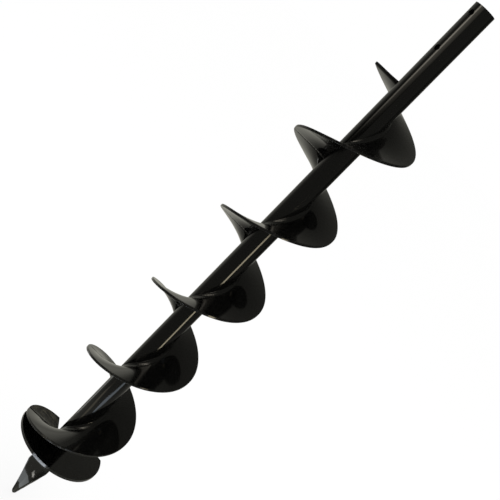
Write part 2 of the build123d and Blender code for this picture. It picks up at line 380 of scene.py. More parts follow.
def add_group(name, inputs, outputs):
    """Starts a shader node group; an input without a value is a vector and the rest are numbers."""
    tree = bpy.data.node_groups.new(name, "ShaderNodeTree")
    for label, value in inputs.items():
        kind = "NodeSocketVector" if value is None else "NodeSocketFloat"
        socket = tree.interface.new_socket(name=label, in_out="INPUT", socket_type=kind)
        if value is not None:
            socket.default_value = value
    for label in outputs:
        tree.interface.new_socket(name=label, in_out="OUTPUT", socket_type="NodeSocketFloat")
    entry = add_node(tree, "NodeGroupInput", (-800, 0))
    leave = add_node(tree, "NodeGroupOutput", (700, 0))
    return tree, entry.outputs, leave.inputs


def math_node(tree, operation, place, *values, clamp=False):
    """One step of arithmetic on two or three values; gives its result socket."""
    return add_node(tree, "ShaderNodeMath", place, dict(enumerate(values)), operation=operation,
                    use_clamp=clamp).outputs[0]


def mix_colour(tree, place, factor, first, second):
    """Mixes two colours; the node's sockets are told apart by their place and not by their name."""
    return add_node(tree, "ShaderNodeMix", place, {0: factor, 6: first, 7: second},
                    data_type="RGBA").outputs[2]


def noise_field(tree, place, vector, scale, detail, roughness=0.5, distortion=0.0):
    """Soft random values about one half."""
    return add_node(tree, "ShaderNodeTexNoise", place, {
        "Vector": vector, "Scale": scale, "Detail": detail, "Roughness": roughness,
        "Distortion": distortion}).outputs["Fac"]


def smooth_step(tree, place, value, low, high):
    """A mask that rises softly from 0 at low to 1 at high."""
    node = add_node(tree, "ShaderNodeMapRange", place, {"Value": value, "From Min": low, "From Max": high},
                    interpolation_type="SMOOTHSTEP")
    return node.outputs["Result"]


def make_orange_peel():
    """The fine pebbling of sprayed paint and the long waves of the plate under it."""
    tree, entry, leave = add_group(
        "Sprayed Surface", {"Vector": None, "Peel Scale": 420.0, "Wave Scale": 16.0}, ("Peel", "Waves"))
    peel = noise_field(tree, (-400, 150), entry["Vector"], entry["Peel Scale"], 2.0, 0.45)
    waves = noise_field(tree, (-400, -150), entry["Vector"], entry["Wave Scale"], 1.0, 0.4)
    tree.links.new(peel, leave["Peel"])
    tree.links.new(waves, leave["Waves"])


def make_edge_wear():
    """Thinned and scuffed paint in a narrow band at the rim."""
    tree, entry, leave = add_group(
        "Edge Wear",
        {"Vector": None, "Rim Radius": 0.0762, "Band": 0.0012, "Chip Scale": 260.0, "Amount": 0.5},
        ("Mask",))
    flat = add_node(tree, "ShaderNodeVectorMath", (-600, 100),
                    {0: entry["Vector"], 1: (1, 1, 0)}, operation="MULTIPLY")
    radius = add_node(tree, "ShaderNodeVectorMath", (-430, 100), {0: flat.outputs[0]}, operation="LENGTH")
    inner = math_node(tree, "SUBTRACT", (-430, -80), entry["Rim Radius"], entry["Band"])
    rim = smooth_step(tree, (-240, 100), radius.outputs["Value"], inner, entry["Rim Radius"])
    chips = noise_field(tree, (-430, -260), entry["Vector"], entry["Chip Scale"], 4.0, 0.6)
    chipped = smooth_step(tree, (-240, -200), chips, 0.48, 0.62)
    ground = math_node(tree, "MULTIPLY", (0, 0), rim, chipped)
    mask = math_node(tree, "MULTIPLY", (200, 0), ground, entry["Amount"], clamp=True)
    tree.links.new(mask, leave["Mask"])


def make_dust():
    """A thin film of dust where a surface faces up, broken into specks and smears."""
    tree, entry, leave = add_group(
        "Settled Dust", {"Vector": None, "Normal": None, "Amount": 0.05}, ("Mask",))
    facing = add_node(tree, "ShaderNodeSeparateXYZ", (-600, 150), {0: entry["Normal"]})
    upward = smooth_step(tree, (-400, 150), facing.outputs["Z"], 0.1, 0.95)
    specks = noise_field(tree, (-600, -80), entry["Vector"], 900.0, 2.0, 0.7)
    smears = noise_field(tree, (-600, -330), entry["Vector"], 24.0, 5.0, 0.6)
    speckled = smooth_step(tree, (-400, -80), specks, 0.55, 0.75)
    smeared = smooth_step(tree, (-400, -330), smears, 0.35, 0.75)
    both = math_node(tree, "MULTIPLY", (-200, -150), speckled, smeared)
    film = math_node(tree, "MULTIPLY", (-100, -300), smeared, 0.35)
    total = math_node(tree, "ADD", (60, -150), both, film)
    lying = math_node(tree, "MULTIPLY", (250, 0), total, upward)
    mask = math_node(tree, "MULTIPLY", (420, 0), lying, entry["Amount"], clamp=True)
    tree.links.new(mask, leave["Mask"])


def place_group(tree, group, place, inputs):
    """Puts a shared effect into a material with its own values."""
    return add_node(tree, "ShaderNodeGroup", place, inputs, node_tree=bpy.data.node_groups[group]).outputs


def blank_material(name):
    """A material with an empty node tree."""
    material = bpy.data.materials.new(name)
    material.use_nodes = True
    material.node_tree.nodes.clear()
    return material


def paint_tree(material, finish, peel_depth, wave_depth, wear_amount, dust_amount, roughness):
    """The gloss black paint; gives its shader and the sockets that other finishes build on."""
    tree = material.node_tree
    shader = add_node(tree, "ShaderNodeBsdfPrincipled", (600, 0),
                      {"Metallic": 0.0, "IOR": 1.5, "Specular IOR Level": finish.specular})
    add_node(tree, "ShaderNodeOutputMaterial", (900, 0), {"Surface": shader.outputs["BSDF"]})
    coords = add_node(tree, "ShaderNodeTexCoord", (-900, 0)).outputs["Object"]
    normal = add_node(tree, "ShaderNodeNewGeometry", (-900, -300)).outputs["Normal"]
    sprayed = place_group(tree, "Sprayed Surface", (-600, -300), {"Vector": coords})
    wear = place_group(tree, "Edge Wear", (-600, 200), {
        "Vector": coords, "Rim Radius": RIM_RADIUS, "Amount": wear_amount})
    dust = place_group(tree, "Settled Dust", (-600, 0), {
        "Vector": coords, "Normal": normal, "Amount": dust_amount})
    thinned = mix_colour(tree, (-300, 200), wear["Mask"], (*finish.paint, 1), (*finish.thin_paint, 1))
    dusted = mix_colour(tree, (-100, 200), dust["Mask"], thinned, (*finish.dust, 1))
    tree.links.new(dusted, shader.inputs["Base Color"])
    worn = math_node(tree, "MULTIPLY_ADD", (-300, 0), wear["Mask"], 0.25, roughness)
    rough = math_node(tree, "MULTIPLY_ADD", (-100, 0), dust["Mask"], 0.8, worn)
    tree.links.new(rough, shader.inputs["Roughness"])
    long_waves = add_node(tree, "ShaderNodeBump", (-100, -300), {
        "Height": sprayed["Waves"], "Distance": wave_depth, "Strength": 1.0})
    pebbles = add_node(tree, "ShaderNodeBump", (150, -300), {
        "Height": sprayed["Peel"], "Distance": peel_depth, "Strength": 1.0,
        "Normal": long_waves.outputs["Normal"]})
    tree.links.new(pebbles.outputs["Normal"], shader.inputs["Normal"])
    return shader, coords, dusted, rough, pebbles.outputs["Normal"]


def blade_direction(sizes):
    """Unit vector square to the lip's seam with the flight, pointing ahead of it."""
    angle = sizes.foot_azimuth - math.pi / 2
    return Vector((math.cos(angle), math.sin(angle), 0))


# --- operators ----------------------------------------------------------------------------------------------


class SOILAUGER_OT_finishes(bpy.types.Operator):
    """Make the shared effects and the paints"""

    bl_idname = "soil_auger.finishes"
    bl_label = "Make Finishes"

    def execute(self, context):
        finish = context.scene.auger_finish
        sizes = context.scene.auger_sizes
        make_orange_peel()
        make_edge_wear()
        make_dust()
        black = blank_material(BLACK[1])
        paint_tree(
            black, finish, peel_depth=0.000003, wave_depth=0.0006, wear_amount=0.5, dust_amount=0.012,
            roughness=finish.roughness)
        weld = blank_material(WELD[1])
        paint_tree(
            weld, finish, peel_depth=0.00001, wave_depth=0.0003, wear_amount=0.0, dust_amount=0.03,
            roughness=finish.roughness + 0.04)
        self.stain_blade(blank_material(BLADE[1]), finish, sizes)
        return {"FINISHED"}

    def stain_blade(self, blade, finish, sizes):
        """A duller and stained paint ahead of the seam."""
        tree = blade.node_tree
        shader, coords, colour, rough, relief = paint_tree(
            blade, finish, peel_depth=0.000004, wave_depth=0.0005, wear_amount=0.6, dust_amount=0.02,
            roughness=finish.roughness)
        shader.inputs["Specular IOR Level"].default_value = 0.12
        shader.inputs["IOR"].default_value = 1.3
        ahead = add_node(tree, "ShaderNodeVectorMath", (-600, 500),
                         {0: coords, 1: blade_direction(sizes)}, operation="DOT_PRODUCT")
        past = smooth_step(tree, (-400, 500), ahead.outputs["Value"], 0.0015, 0.0065)
        mottle = noise_field(tree, (-600, 750), coords, 95.0, 7.0, roughness=0.62, distortion=0.5)
        patches = smooth_step(tree, (-400, 750), mottle, 0.40, 0.66)
        mask = math_node(tree, "MULTIPLY", (-200, 600), past, patches)
        stained = mix_colour(tree, (150, 350), mask, colour, BLADE_STAIN)
        tree.links.new(stained, shader.inputs["Base Color"])
        coarse = math_node(tree, "MULTIPLY_ADD", (150, 120), past, 0.30, rough)
        tree.links.new(coarse, shader.inputs["Roughness"])
        pitted = add_node(tree, "ShaderNodeBump", (380, -300), {
            "Height": mask, "Distance": 0.0005, "Strength": 1.0, "Normal": relief})
        tree.links.new(pitted.outputs["Normal"], shader.inputs["Normal"])


class SOILAUGER_OT_tube(bpy.types.Operator):
    """Make the drive tube with its bore, its cross holes and its rounded end"""

    bl_idname = "soil_auger.tube"
    bl_label = "Make Drive Tube"

    def execute(self, context):
        sizes = context.scene.auger_sizes
        bore = TUBE_RADIUS - sizes.tube_wall
        bm = bmesh.new()
        bmesh.ops.create_grid(bm, x_segments=1, y_segments=12, size=0.5)
        for vert in bm.verts:
            vert.co = Vector((
                bore + (vert.co.x + 0.5) * sizes.tube_wall, 0, TUBE_FOOT + (vert.co.y + 0.5) * (
                    TUBE_TOP - TUBE_FOOT)))
        bmesh.ops.delete(bm, geom=[e for e in bm.edges if not e.is_boundary], context="EDGES_FACES")
        lathe(bm, 128)
        blank = mesh_object(context.scene, bm, "tube_blank")
        drills = bmesh.new()
        for index in range(2):
            place = Matrix.Translation((0, 0, -sizes.hole_setback - index * sizes.hole_spacing))
            bmesh.ops.create_cone(
                drills, cap_ends=True, segments=48, radius1=sizes.hole_diameter / 2,
                radius2=sizes.hole_diameter / 2, depth=4 * TUBE_RADIUS,
                matrix=place @ Matrix.Rotation(math.pi / 2, 4, "X"))
        cutter = mesh_object(context.scene, drills, "tube_drills")
        cut = blank.modifiers.new("Cross holes", "BOOLEAN")
        cut.object = cutter
        cut.operation = "DIFFERENCE"
        cut.solver = "EXACT"
        drilled = bpy.data.meshes.new_from_object(
            blank.evaluated_get(context.evaluated_depsgraph_get()))
        bpy.data.objects.remove(blank)
        bpy.data.objects.remove(cutter)

        bm = bmesh.new()
        bm.from_mesh(drilled)
        bmesh.ops.remove_doubles(bm, verts=bm.verts, dist=1e-6)
        round_edges(bm, sizes.edge_round / 2, 3, math.radians(50))
        obj = finish_piece(context, bm, "tube_shell", "drive_tube", BLACK)
        self.round_normals(obj.data, bore)
        return {"FINISHED"}

    def round_normals(self, mesh, bore):
        """Gives the two cylindrical walls the normals of a true cylinder."""
        normals = [Vector((0, 0, 0))] * len(mesh.loops)
        for face in mesh.polygons:
            radius = radius_of(face.center)
            wall = 1 if radius > TUBE_RADIUS - 0.00006 else -1 if radius < bore + 0.00003 else 0
            if wall == 0 or abs(face.normal.z) > 0.02:
                continue
            for loop in face.loop_indices:
                co = mesh.vertices[mesh.loops[loop].vertex_index].co
                normals[loop] = Vector((co.x, co.y, 0)).normalized() * wall
        mesh.normals_split_custom_set(normals)


class SOILAUGER_OT_flights(bpy.types.Operator):
    """Make the pressed turns of flighting"""

    bl_idname = "soil_auger.flights"
    bl_label = "Make Flighting"

    def execute(self, context):
        sizes = context.scene.auger_sizes
        for number, (azimuth, z, span, pitch) in enumerate(flight_turns(sizes), start=1):
            bm = plate_strip(TUBE_RADIUS - TUCK, RIM_RADIUS, sizes.flight_thickness, pitch, 14)
            sweep(bm, azimuth, z, span, pitch, max(8, round(math.degrees(span) / 3)))
            stray(bm, sizes.wander)
            round_edges(bm, sizes.edge_round, 3, math.radians(45), RIM_RADIUS - 0.001)
            obj = finish_piece(context, bm, f"flight_turn_{number}", f"flight_section_{number}", BLACK)
            weigh_normals(obj)
        return {"FINISHED"}


class SOILAUGER_OT_lip(bpy.types.Operator):
    """Make the cutting lip with its ground edge"""

    bl_idname = "soil_auger.lip"
    bl_label = "Make Cutting Lip"

    def execute(self, context):
        sizes = context.scene.auger_sizes
        pitch = lip_pitch(sizes)
        start = sizes.foot_azimuth - sizes.lip_span
        bm = plate_strip(TUBE_RADIUS - TUCK, RIM_RADIUS, sizes.lip_thickness, pitch, 14)
        sweep(bm, start, PLATE_TOP - sizes.lip_drop, sizes.lip_span, pitch, 44)
        edge = PLATE_TOP - sizes.lip_drop + sizes.lip_thickness / 2 * slope_factor(
            RIM_RADIUS, pitch) - LIP_LAND
        slope = math.atan2(pitch, 2 * math.pi * RIM_RADIUS)
        lean = math.atan2(sizes.lip_thickness, sizes.lip_grind)
        turn = Matrix.Rotation(start, 3, "Z") @ Matrix.Rotation(slope - lean, 3, "X")
        cut = bmesh.ops.bisect_plane(
            bm, geom=bm.verts[:] + bm.edges[:] + bm.faces[:], dist=MERGE, plane_co=(0, 0, edge),
            plane_no=turn @ Vector((0, 0, -1)), clear_outer=True)
        rim = [g for g in cut["geom_cut"] if isinstance(g, bmesh.types.BMEdge)]
        bmesh.ops.holes_fill(bm, edges=rim, sides=0)
        bmesh.ops.recalc_face_normals(bm, faces=bm.faces)
        round_edges(bm, sizes.edge_round / 2, 2, math.radians(35), TUBE_RADIUS + 0.003)
        obj = finish_piece(context, bm, "lip_blade", "cutting_lip", BLADE)
        weigh_normals(obj)
        return {"FINISHED"}


class SOILAUGER_OT_bottom_plate(bpy.types.Operator):
    """Make the flat plate behind the lip"""

    bl_idname = "soil_auger.bottom_plate"
    bl_label = "Make Lower Plate"

    def execute(self, context):
        sizes = context.scene.auger_sizes
        thickness = PLATE_TOP - PLATE_UNDERSIDE
        start, span = plate_reach(sizes)
        bm = plate_strip(TUBE_RADIUS - TUCK, RIM_RADIUS, thickness, 0.0, 10)
        sweep(bm, start, (PLATE_TOP + PLATE_UNDERSIDE) / 2, span, 0.0, 80)
        corner = self.corner_point(sizes, RIM_RADIUS - sizes.plate_corner, 0)
        edge = self.corner_point(sizes, RIM_RADIUS, sizes.plate_corner / RIM_RADIUS)
        outward = (corner - edge).cross(Z_AXIS).normalized()
        outward *= math.copysign(1, outward.dot(corner))
        bmesh.ops.bisect_plane(
            bm, geom=bm.verts[:] + bm.edges[:] + bm.faces[:], dist=MERGE, plane_co=corner,
            plane_no=outward, clear_outer=False)
        gone = [v for v in bm.verts if (v.co - corner).dot(outward) > 1e-6
                and v.co.dot(corner) > 0 and (v.co - corner).length < 2 * sizes.plate_corner]
        bmesh.ops.delete(bm, geom=gone, context="VERTS")
        bmesh.ops.holes_fill(bm, edges=[e for e in bm.edges if e.is_boundary], sides=0)
        bmesh.ops.recalc_face_normals(bm, faces=bm.faces)
        round_edges(bm, sizes.edge_round, 3, math.radians(35), TUBE_RADIUS + 0.002)
        obj = finish_piece(context, bm, "bottom_plate", "lower_plate", BLACK)
        weigh_normals(obj)
        return {"FINISHED"}

    def corner_point(self, sizes, radius, back):
        """A point at a radius, a little before the plate's trailing end."""
        angle = sizes.plate_end_azimuth - back
        return Vector((radius * math.cos(angle), radius * math.sin(angle), PLATE_TOP))


class SOILAUGER_OT_pilot(bpy.types.Operator):
    """Make the forged and twisted pilot point"""

    bl_idname = "soil_auger.pilot"
    bl_label = "Make Pilot Point"

    sections: IntProperty(name="Sections", description="Sections along the forging", default=72, min=8)

    def execute(self, context):
        sizes = context.scene.auger_sizes
        bm = bmesh.new()
        bmesh.ops.create_circle(bm, cap_ends=False, segments=72, radius=TUBE_RADIUS)
        bmesh.ops.translate(bm, verts=bm.verts, vec=(0, 0, TUBE_FOOT - PILOT_SEAT))
        ring = bm.verts[:]
        angles = {v: math.atan2(v.co.y, v.co.x) for v in ring}
        loop = bm.edges[:]
        first = loop
        for index in range(1, self.sections + 1):
            made = bmesh.ops.extrude_edge_only(bm, edges=loop)["geom"]
            verts = [g for g in made if isinstance(g, bmesh.types.BMVert)]
            loop = [g for g in made if isinstance(g, bmesh.types.BMEdge)]
            by_old = {}
            for vert in verts:
                old = next(e.other_vert(vert) for e in vert.link_edges if e.other_vert(vert) in angles)
                by_old[vert] = angles[old]
            angles = by_old
            share = index / self.sections
            for vert, angle in angles.items():
                vert.co = self.surface(sizes, angle, share)
        bmesh.ops.holes_fill(bm, edges=loop, sides=0)
        bmesh.ops.holes_fill(bm, edges=first, sides=0)
        bmesh.ops.recalc_face_normals(bm, faces=bm.faces)
        for vert in bm.verts:
            dents = noise.noise(vert.co * 60) * 0.0005
            out = Vector((vert.co.x, vert.co.y, 0))
            if vert.co.z < TUBE_FOOT - 0.012 and out.length > 1e-4:
                vert.co += out.normalized() * (dents - 0.0003)
        finish_piece(context, bm, "pilot_forging", "pilot_point", BLACK)
        return {"FINISHED"}

    def surface(self, sizes, angle, share):
        """A point of the forging at an angle round it and a share of the way down to the tip."""
        reach = TUBE_FOOT - TIP
        down = reach * share
        blade = min(max((down - COLLAR) / (reach - COLLAR), 0), 1)
        taper = max(0.0, (blade - PILOT_PARALLEL) / (1 - PILOT_PARALLEL))
        tip = max(0.0, (share - 0.95) / 0.05)
        close = math.sqrt(max(1 - 0.8 * tip * tip, 0.04))
        half_width = (sizes.pilot_width + (PILOT_TIP_WIDTH - sizes.pilot_width) * taper) / 2 * close
        half_thickness = (
            sizes.pilot_thickness + (PILOT_TIP_THICKNESS - sizes.pilot_thickness) * blade) / 2 * close
        corner = 0.14 * half_thickness + 0.0004
        x, y = rounded_box(angle, half_width, half_thickness, corner)
        y *= 1 - PILOT_HOLLOW * max(0.0, 1 - (x / (half_width - corner)) ** 2)
        forge = min(max(down / FORGED_BY, 0), 1)
        forge = forge * forge * (3 - 2 * forge)
        turn = PILOT_AZIMUTH - sizes.pilot_twist * blade
        shaped = Matrix.Rotation(turn, 3, "Z") @ Vector((x, y, 0))
        turned = angle + turn
        round_point = Vector((math.cos(turned), math.sin(turned), 0)) * TUBE_RADIUS
        point = round_point.lerp(shaped, forge)
        point.z = TUBE_FOOT - PILOT_SEAT - down * (reach - PILOT_SEAT) / reach
        return point


def rounded_box(angle, half_width, half_thickness, corner):
    """A point on the outline of a box with rounded corners, spread evenly by its angle."""
    flat_x, flat_y = half_width - corner, half_thickness - corner
    arc = math.pi / 2 * corner
    total = 4 * (flat_x + flat_y + arc)
    along = (angle / (2 * math.pi)) % 1 * total
    signs = ((1, 1), (-1, 1), (-1, -1), (1, -1))
    quarter = int(along // (total / 4)) % 4
    rest = along - quarter * total / 4
    if quarter % 2:
        rest = total / 4 - rest
    if rest < flat_y:
        x, y = half_width, rest
    elif rest < flat_y + arc:
        bend = (rest - flat_y) / corner
        x, y = flat_x + corner * math.cos(bend), flat_y + corner * math.sin(bend)
    else:
        x, y = flat_x - (rest - flat_y - arc), half_thickness
    return x * signs[quarter][0], y * signs[quarter][1]


class SOILAUGER_OT_root_beads(bpy.types.Operator):
    """Make the weld beads between the tube and the plates"""

    bl_idname = "soil_auger.root_beads"
    bl_label = "Make Root Beads"

    def execute(self, context):
        sizes = context.scene.auger_sizes
        runs = [(f"root_bead_{n}", f"root_weld_{n}", azimuth, z, span, pitch, sizes.flight_thickness)
                for n, (azimuth, z, span, pitch) in enumerate(flight_turns(sizes), start=1)]
        runs.append(("lip_bead", "lip_root_weld", sizes.foot_azimuth - sizes.lip_span,
                     PLATE_TOP - sizes.lip_drop, sizes.lip_span, lip_pitch(sizes), sizes.lip_thickness))
        for name, node, azimuth, z, span, pitch, thickness in runs:
            seat = thickness / 2 * slope_factor(TUBE_RADIUS + 0.002, pitch) - BEAD_TUCK
            bm = bmesh.new()
            bead_profile(bm, seat, sizes.bead_out, sizes.bead_up, 1)
            length = span * math.hypot(TUBE_RADIUS, pitch / (2 * math.pi))
            sweep(bm, azimuth, z, span, pitch, round(length / sizes.ripple * STEPS_PER_RIPPLE))
            ripple_bead(bm, sizes.ripple, RIPPLE_DEPTH, pitch)
            finish_piece(context, bm, name, node, WELD)

        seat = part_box("plate_root_weld")[1].z
        start, span = plate_reach(sizes)
        bm = bmesh.new()
        bead_profile(bm, seat, sizes.bead_out, sizes.bead_out, -1)
        sweep(bm, start, 0, span, 0.0, round(span * TUBE_RADIUS / sizes.ripple * STEPS_PER_RIPPLE))
        ripple_bead(bm, sizes.ripple, RIPPLE_DEPTH, 0.0)
        finish_piece(context, bm, "plate_bead", "plate_root_weld", WELD)
        return {"FINISHED"}


class SOILAUGER_OT_seams(bpy.types.Operator):
    """Make the low beads of the butt seams and the ring bead at the pilot"""

    bl_idname = "soil_auger.seams"
    bl_label = "Make Seam Beads"

    def execute(self, context):
        sizes = context.scene.auger_sizes
        for number, (azimuth, z, span, pitch) in enumerate(flight_turns(sizes), start=1):
            thickness = sizes.lip_thickness if number == 1 else sizes.flight_thickness
            pitch = lip_pitch(sizes) if number == 1 else pitch
            bm = plate_strip(
                TUBE_RADIUS + sizes.bead_out, RIM_RADIUS - SEAM_STANDOFF, SEAM_HEIGHT, pitch, 90)
            for vert in bm.verts:
                vert.co.z += thickness / 2 * slope_factor(vert.co.x, pitch) - 0.0001
            climb = pitch * SEAM_HALF_ANGLE / (2 * math.pi)
            sweep(bm, azimuth - SEAM_HALF_ANGLE, z - climb, 2 * SEAM_HALF_ANGLE, pitch, 8)
            self.crown(bm, azimuth, sizes)
            stray(bm, sizes.wander)
            finish_piece(context, bm, f"seam_bead_{number}", f"seam_weld_{number}", WELD)

        bm = bmesh.new()
        bmesh.ops.create_circle(
            bm, cap_ends=True, segments=20, radius=RING_BEAD,
            matrix=Matrix.Translation((TUBE_RADIUS, 0, TUBE_FOOT)) @ Matrix.Rotation(math.pi / 2, 4, "X"))
        bmesh.ops.delete(bm, geom=bm.faces[:], context="FACES_ONLY")
        lathe(bm, 188)
        ripple_bead(bm, 2 * math.pi * TUBE_RADIUS / RING_RIPPLES, RING_RIPPLE_DEPTH, 0.0)
        finish_piece(context, bm, "pilot_bead", "pilot_weld", WELD)
        return {"FINISHED"}

    def crown(self, bm, azimuth, sizes):
        """Lowers the bead's sides to the plate and gives it shallow scales."""
        for vert in bm.verts:
            angle = math.atan2(vert.co.y, vert.co.x) - azimuth
            angle = (angle + math.pi) % (2 * math.pi) - math.pi
            across = min(abs(angle) / SEAM_HALF_ANGLE, 1)
            radius = radius_of(vert.co)
            phase = (radius / sizes.ripple + 0.4 * across * across) % 1
            scale = phase ** 0.6 * (1 - phase) * 1.4
            vert.co.z -= SEAM_HEIGHT * across ** 2 + 0.0002 * scale


class SOILAUGER_OT_studio(bpy.types.Operator):
    """Set up the camera, the floor, the light and the tent that the paint reflects"""

    bl_idname = "soil_auger.studio"
    bl_label = "Set Up Studio"

    def execute(self, context):
        scene = context.scene
        setup = scene.auger_studio
        scene.view_settings.view_transform = "Standard"
        self.place_camera(scene, setup)
        self.make_world(scene, setup)
        self.make_floor(scene)
        self.make_tent(scene, setup)
        for strip in STRIPS:
            self.make_strip(scene, *strip)
        self.make_window(scene, setup)
        self.make_lamp(scene)
        return {"FINISHED"}

    def place_camera(self, scene, setup):
        """Looks at the axis from the front, rolled so that the auger lies across the frame."""
        toward = Vector((math.cos(setup.camera_azimuth), math.sin(setup.camera_azimuth), 0))
        place = toward * setup.camera_distance + Z_AXIS * setup.camera_height
        sight = (Z_AXIS * setup.aim_height - place).normalized()
        turn = sight.to_track_quat("-Z", "Y").to_matrix().to_4x4()
        turn = turn @ Matrix.Rotation(setup.camera_roll, 4, "Z")
        data = bpy.data.cameras.new("Camera")
        data.lens = setup.lens
        data.sensor_width = 36.0
        data.clip_start = 0.01
        camera = bpy.data.objects.new("Camera", data)
        camera.matrix_world = Matrix.Translation(place) @ turn
        scene.collection.objects.link(camera)
        scene.camera = camera

    def make_world(self, scene, setup):
        """Even light, with a plain white behind everything that is seen directly or in the gloss."""
        world = bpy.data.worlds.new("Studio")
        scene.world = world
        world.use_nodes = True
        tree = world.node_tree
        tree.nodes.clear()
        even = add_node(tree, "ShaderNodeBackground", (-200, 0), {
            "Color": (1, 1, 1, 1), "Strength": setup.light_level})
        white = add_node(tree, "ShaderNodeBackground", (-200, -150), {
            "Color": (1, 1, 1, 1), "Strength": 1.0})
        mixed = add_node(tree, "ShaderNodeMixShader", (0, 0), {
            0: self.looked_at(tree), 1: even.outputs[0], 2: white.outputs[0]})
        add_node(tree, "ShaderNodeOutputWorld", (200, 0), {"Surface": mixed.outputs[0]})

    def looked_at(self, tree):
        """1 where the camera, the gloss or glass looks, and 0 for the light that falls on the auger."""
        path = add_node(tree, "ShaderNodeLightPath", (-800, 300)).outputs
        seen = math_node(tree, "MAXIMUM", (-600, 300), path["Is Camera Ray"], path["Is Glossy Ray"])
        return math_node(tree, "MAXIMUM", (-400, 300), seen, path["Is Transmission Ray"])

    def make_floor(self, scene):
        """A wide pale floor under the tip that keeps a soft shadow and is clear from below."""
        bm = bmesh.new()
        bmesh.ops.create_circle(
            bm, cap_ends=True, segments=96, radius=FLOOR_RADIUS, matrix=Matrix.Translation((0, 0, TIP)))
        floor = self.stage_object(scene, bm, "studio_floor")
        floor.visible_glossy = False
        material = blank_material("Pale floor")
        floor.data.materials.append(material)
        tree = material.node_tree
        share = math_node(tree, "MULTIPLY", (-200, 300), self.looked_at(tree), FLOOR_SHARE)
        coords = add_node(tree, "ShaderNodeTexCoord", (-800, 0)).outputs["Object"]
        grain = noise_field(tree, (-600, 0), coords, 40.0, 4.0)
        tone = mix_colour(tree, (-400, 0), grain, (0.97, 0.97, 0.97, 1), (0.99, 0.99, 0.985, 1))
        matt = add_node(tree, "ShaderNodeBsdfDiffuse", (-200, 0), {"Color": tone})
        white = add_node(tree, "ShaderNodeEmission", (-200, -150), {
            "Color": (1, 1, 1, 1), "Strength": 1.0})
        mixed = add_node(tree, "ShaderNodeMixShader", (0, 0), {
            0: share, 1: matt.outputs[0], 2: white.outputs[0]})
        under = add_node(tree, "ShaderNodeNewGeometry", (-200, 500)).outputs["Backfacing"]
        clear = add_node(tree, "ShaderNodeBsdfTransparent", (0, -150))
        one_sided = add_node(tree, "ShaderNodeMixShader", (200, 0), {
            0: under, 1: mixed.outputs[0], 2: clear.outputs[0]})
        add_node(tree, "ShaderNodeOutputMaterial", (400, 0), {"Surface": one_sided.outputs[0]})

    def stage_object(self, scene, bm, name):
        """Makes a mesh that belongs to the studio and not to the auger."""
        obj = mesh_object(scene, bm, name)
        return obj

    def only_in_gloss(self, obj):
        """Leaves an object to be seen in reflections alone."""
        obj.visible_camera = False
        obj.visible_diffuse = False
        obj.visible_transmission = False
        obj.visible_volume_scatter = False
        obj.visible_shadow = False

    def make_tent(self, scene, setup):
        """A glowing tent round the auger, seen in the gloss of the paint alone, with greys and whites of
        painted light and shade.
        """
        bm = bmesh.new()
        bmesh.ops.create_icosphere(
            bm, subdivisions=5, radius=setup.tent_radius,
            matrix=Matrix.Translation((0, 0, setup.aim_height)))
        bmesh.ops.reverse_faces(bm, faces=bm.faces)
        tent = self.stage_object(scene, bm, "studio_tent")
        self.only_in_gloss(tent)
        material = blank_material("Tent cloth")
        material.cycles.emission_sampling = "NONE"
        tent.data.materials.append(material)
        tree = material.node_tree
        coords = add_node(tree, "ShaderNodeTexCoord", (-1000, 0)).outputs["Object"]
        centred = add_node(tree, "ShaderNodeVectorMath", (-800, 0), {
            0: coords, 1: (0, 0, setup.aim_height)}, operation="SUBTRACT")
        unit = add_node(tree, "ShaderNodeVectorMath", (-600, 0), {0: centred.outputs[0]},
                        operation="NORMALIZE").outputs[0]
        height = add_node(tree, "ShaderNodeSeparateXYZ", (-400, 200), {0: unit}).outputs["Z"]
        behind = self.towards(tree, unit, setup.camera_azimuth + math.pi, (-400, -100))
        right = self.towards(tree, unit, setup.camera_azimuth + math.pi / 2, (-400, -300))
        # Painted shade: a dark band in the tent's glow, mixed in towards black below.
        dark_band_side = self.towards(tree, unit, setup.camera_azimuth + DARK_BAND_TURN, (-400, -500))
        rear = smooth_step(tree, (-200, -100), behind, *REAR_EDGE)
        # Painted shade: the rear glow is made weaker on the right.
        shade = smooth_step(tree, (-200, -300), right, *SHADE_EDGE)
        shade = math_node(tree, "MULTIPLY_ADD", (0, -300), shade, -SHADE_DEPTH, 1.0)
        rear = math_node(tree, "MULTIPLY", (150, -200), rear, shade)
        lifted = add_node(tree, "ShaderNodeMapRange", (-200, 200), {
            "Value": height, "From Min": -1.0, "From Max": 1.0}).outputs["Result"]
        # Painted light: the greys of the glow by height, behind and in front.
        wall = self.grey_ramp(tree, lifted, (0, 300), REAR_PAINTED_GLOW)
        front = self.grey_ramp(tree, lifted, (0, 100), FRONT_PAINTED_GLOW)
        painted_tone = mix_colour(tree, (300, 0), rear, front, wall)
        painted_dark_band = smooth_step(tree, (0, -500), dark_band_side, *DARK_BAND_EDGE)
        painted_dark_band = math_node(tree, "MULTIPLY", (150, -500), painted_dark_band, DARK_BAND_DEPTH)
        lit = mix_colour(tree, (450, 0), painted_dark_band, painted_tone, (0.0, 0.0, 0.0, 1))
        glow = add_node(tree, "ShaderNodeEmission", (600, 0), {"Color": lit, "Strength": 1.0})
        add_node(tree, "ShaderNodeOutputMaterial", (800, 0), {"Surface": glow.outputs[0]})

    def towards(self, tree, point, azimuth, place):
        """How far a point or direction lies towards an azimuth."""
        side = Vector((math.cos(azimuth), math.sin(azimuth), 0))
        return add_node(tree, "ShaderNodeVectorMath", place, {0: point, 1: side},
                        operation="DOT_PRODUCT").outputs["Value"]

    def grey_ramp(self, tree, share, place, stops):
        """Greys of painted glow, faintly tinted, at the stops of a ramp from 0 to 1."""
        ramp = add_node(tree, "ShaderNodeValToRGB", place, {0: share})
        elements = ramp.color_ramp.elements
        while len(elements) < len(stops):
            elements.new(0.5)
        for element, (position, grey) in zip(elements, stops):
            element.position = position
            element.color = (*(grey * part for part in GLOW_TINT), 1)
        return ramp.outputs[0]

